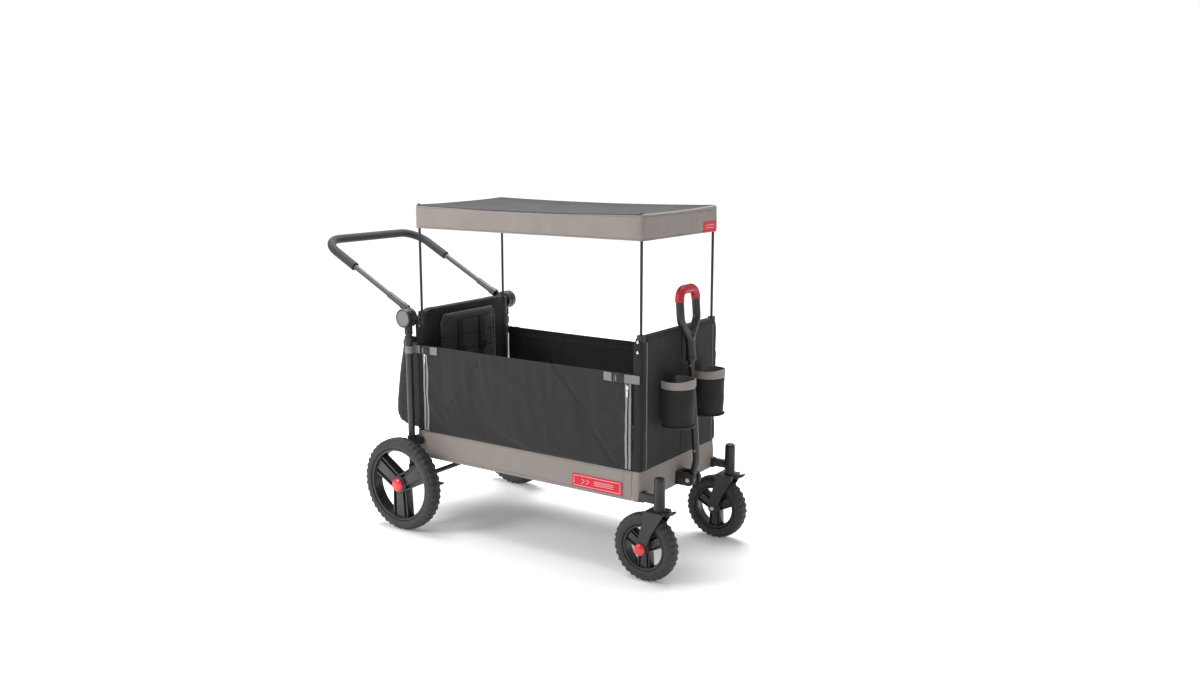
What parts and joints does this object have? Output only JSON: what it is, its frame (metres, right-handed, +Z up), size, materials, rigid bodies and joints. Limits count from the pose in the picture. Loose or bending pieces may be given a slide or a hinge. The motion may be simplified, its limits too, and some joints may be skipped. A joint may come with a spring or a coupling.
{
  "type": "folding wagon",
  "caption": "Folding fabric wagon for children, with a canopy, a push handle, a pull handle, swivelling front wheels and a braked rear axle.",
  "frame": {"origin": "on the ground, in the wagon's middle plane, under the middle of its overall length", "axes": "+X the direction of travel, towards the pull handle; +Y the wagon's left side; +Z up"},
  "size_m": [1.411, 0.655, 1.061],
  "materials": {
    "frame_metal": "gloss black powder coat",
    "rod_metal": "satin black",
    "steel": "satin",
    "black_plastic": "satin moulded black",
    "wheel_plastic": "semi-gloss black",
    "grey_plastic": "satin grey",
    "cap_plastic": "gloss red",
    "red_plastic": "satin red",
    "tyre_rubber": "matt",
    "foam": "soft matt foam",
    "charcoal_fabric": "woven polyester",
    "grey_fabric": "woven polyester",
    "canopy_fabric": "woven polyester",
    "pad_fabric": "soft quilted fabric",
    "webbing": "woven webbing"
  },
  "bodies": {
    "rear_frame": {"rear_tubes": "frame_metal", "axle_blocks": "black_plastic", "rear_axles": "steel", "rear_post_frame": "frame_metal", "leg_brackets": "black_plastic", "frame_pins": "steel", "canopy_uprights_rear": "rod_metal", "rear_panel": "charcoal_fabric", "seat_pad": "pad_fabric", "harness": "webbing", "rear_bag": "charcoal_fabric", "hub_housings": "black_plastic", "canopy_cover": "canopy_fabric", "side_walls": "charcoal_fabric", "base_bands": "grey_fabric", "side_buckles_rear": "webbing"},
    "push_handle": {"handle_sockets": "black_plastic", "handle_tubes": "frame_metal", "handle_foam": "foam"},
    "floor_rear": {"floor_deck_rear": "frame_metal", "floor_mat_rear": "charcoal_fabric", "floor_middle_pins": "steel"},
    "floor_front": {"floor_deck_front": "frame_metal", "floor_mat_front": "charcoal_fabric"},
    "front_frame": {"front_post_frame": "frame_metal", "front_pins": "steel", "canopy_uprights_front": "rod_metal", "front_panel": "charcoal_fabric", "base_band_front": "grey_fabric", "cup_pockets": "charcoal_fabric", "caster_mounts": "black_plastic", "pull_bracket": "black_plastic", "side_buckles_front": "webbing"},
    "pull_handle": {"pull_lower_tube": "frame_metal"},
    "pull_slider": {"pull_inner_tube": "frame_metal", "pull_grip": "black_plastic", "grip_cover": "red_plastic"},
    "hub_button_right": {"hub_button_right": "grey_plastic"},
    "brake_pedal_right": {"brake_pedal_right": "black_plastic"},
    "brake_pin_right": {"brake_pin_right": "steel"},
    "rear_wheel_right": {"rear_rim_right": "wheel_plastic", "rear_tyre_right": "tyre_rubber", "rear_cap_right": "cap_plastic"},
    "caster_right": {"fork_right": "black_plastic", "front_axle_right": "cap_plastic"},
    "lock_lever_right": {"lock_lever_right": "black_plastic"},
    "front_wheel_right": {"front_rim_right": "wheel_plastic", "front_tyre_right": "tyre_rubber"},
    "hub_button_left": {"hub_button_left": "grey_plastic"},
    "brake_pedal_left": {"brake_pedal_left": "black_plastic"},
    "brake_pin_left": {"brake_pin_left": "steel"},
    "rear_wheel_left": {"rear_rim_left": "wheel_plastic", "rear_tyre_left": "tyre_rubber", "rear_cap_left": "cap_plastic"},
    "caster_left": {"fork_left": "black_plastic", "front_axle_left": "cap_plastic"},
    "lock_lever_left": {"lock_lever_left": "black_plastic"},
    "front_wheel_left": {"front_rim_left": "wheel_plastic", "front_tyre_left": "tyre_rubber"}
  },
  "joints": [
    {"name": "fold", "type": "hinge", "parent": "rear_frame", "child": "floor_rear", "pos_m": [-0.21914, 0, 0.2685], "axis": [0, -1, 0], "range_deg": [0, 85], "deforming": ["side_walls", "base_bands", "canopy_cover"]},
    {"name": "fold_middle", "type": "hinge", "parent": "floor_rear", "child": "floor_front", "pos_m": [0.16586, 0, 0.237], "axis": [0, -1, 0], "range_deg": [-170, 0]},
    {"name": "fold_front", "type": "hinge", "parent": "floor_front", "child": "front_frame", "pos_m": [0.55086, 0, 0.2685], "axis": [0, -1, 0], "range_deg": [0, 85]},
    {"name": "push_handle_tilt", "type": "hinge", "parent": "rear_frame", "child": "push_handle", "pos_m": [-0.28114, 0, 0.694], "axis": [0, -1, 0], "range_deg": [-35, 110]},
    {"name": "pull_handle_tilt", "type": "hinge", "parent": "front_frame", "child": "pull_handle", "pos_m": [0.63086, 0, 0.254], "axis": [0, 1, 0], "range_deg": [0, 100]},
    {"name": "pull_handle_slide", "type": "slide", "parent": "pull_handle", "child": "pull_slider", "axis": [-0.0772, 0, 0.997], "range_m": [0, 0.13]},
    {"name": "hub_button_right_press", "type": "slide", "parent": "rear_frame", "child": "hub_button_right", "axis": [0, 1, 0], "range_m": [0, 0.004], "stiffness_N_per_m": 1000},
    {"name": "brake_pedal_right_tilt", "type": "hinge", "parent": "rear_frame", "child": "brake_pedal_right", "pos_m": [-0.23814, -0.225, 0.1464], "axis": [0, 1, 0], "range_deg": [0, 18]},
    {"name": "brake_pin_right_slide", "type": "slide", "parent": "rear_frame", "child": "brake_pin_right", "axis": [0, -1, 0], "range_m": [0, 0.006]},
    {"name": "rear_wheel_right_spin", "type": "hinge", "parent": "rear_frame", "child": "rear_wheel_right", "pos_m": [-0.28114, -0.2945, 0.1524], "axis": [0, 1, 0], "continuous": true},
    {"name": "caster_right_swivel", "type": "hinge", "parent": "front_frame", "child": "caster_right", "pos_m": [0.64686, -0.215, 0.211], "axis": [0, 0, 1], "continuous": true},
    {"name": "lock_lever_right_tilt", "type": "hinge", "parent": "caster_right", "child": "lock_lever_right", "pos_m": [0.67686, -0.215, 0.211], "axis": [0, -1, 0], "range_deg": [0, 15]},
    {"name": "front_wheel_right_spin", "type": "hinge", "parent": "caster_right", "child": "front_wheel_right", "pos_m": [0.60386, -0.215, 0.1016], "axis": [0, 1, 0], "continuous": true},
    {"name": "hub_button_left_press", "type": "slide", "parent": "rear_frame", "child": "hub_button_left", "axis": [0, -1, 0], "range_m": [0, 0.004], "stiffness_N_per_m": 1000},
    {"name": "brake_pedal_left_tilt", "type": "hinge", "parent": "rear_frame", "child": "brake_pedal_left", "pos_m": [-0.23814, 0.225, 0.1464], "axis": [0, 1, 0], "range_deg": [0, 18]},
    {"name": "brake_pin_left_slide", "type": "slide", "parent": "rear_frame", "child": "brake_pin_left", "axis": [0, 1, 0], "range_m": [0, 0.006]},
    {"name": "rear_wheel_left_spin", "type": "hinge", "parent": "rear_frame", "child": "rear_wheel_left", "pos_m": [-0.28114, 0.2945, 0.1524], "axis": [0, 1, 0], "continuous": true},
    {"name": "caster_left_swivel", "type": "hinge", "parent": "front_frame", "child": "caster_left", "pos_m": [0.64686, 0.215, 0.211], "axis": [0, 0, 1], "continuous": true},
    {"name": "lock_lever_left_tilt", "type": "hinge", "parent": "caster_left", "child": "lock_lever_left", "pos_m": [0.67686, 0.215, 0.211], "axis": [0, -1, 0], "range_deg": [0, 15]},
    {"name": "front_wheel_left_spin", "type": "hinge", "parent": "caster_left", "child": "front_wheel_left", "pos_m": [0.60386, 0.215, 0.1016], "axis": [0, 1, 0], "continuous": true}
  ],
  "couplings": [
    {"joint": "fold_middle", "follows": "fold", "ratio": -2},
    {"joint": "fold_front", "follows": "fold", "ratio": 1},
    {"joint": "brake_pin_right_slide", "follows": "brake_pedal_right_tilt", "m_per_rad": 0.019097},
    {"joint": "brake_pin_left_slide", "follows": "brake_pedal_left_tilt", "m_per_rad": 0.019097}
  ]
}
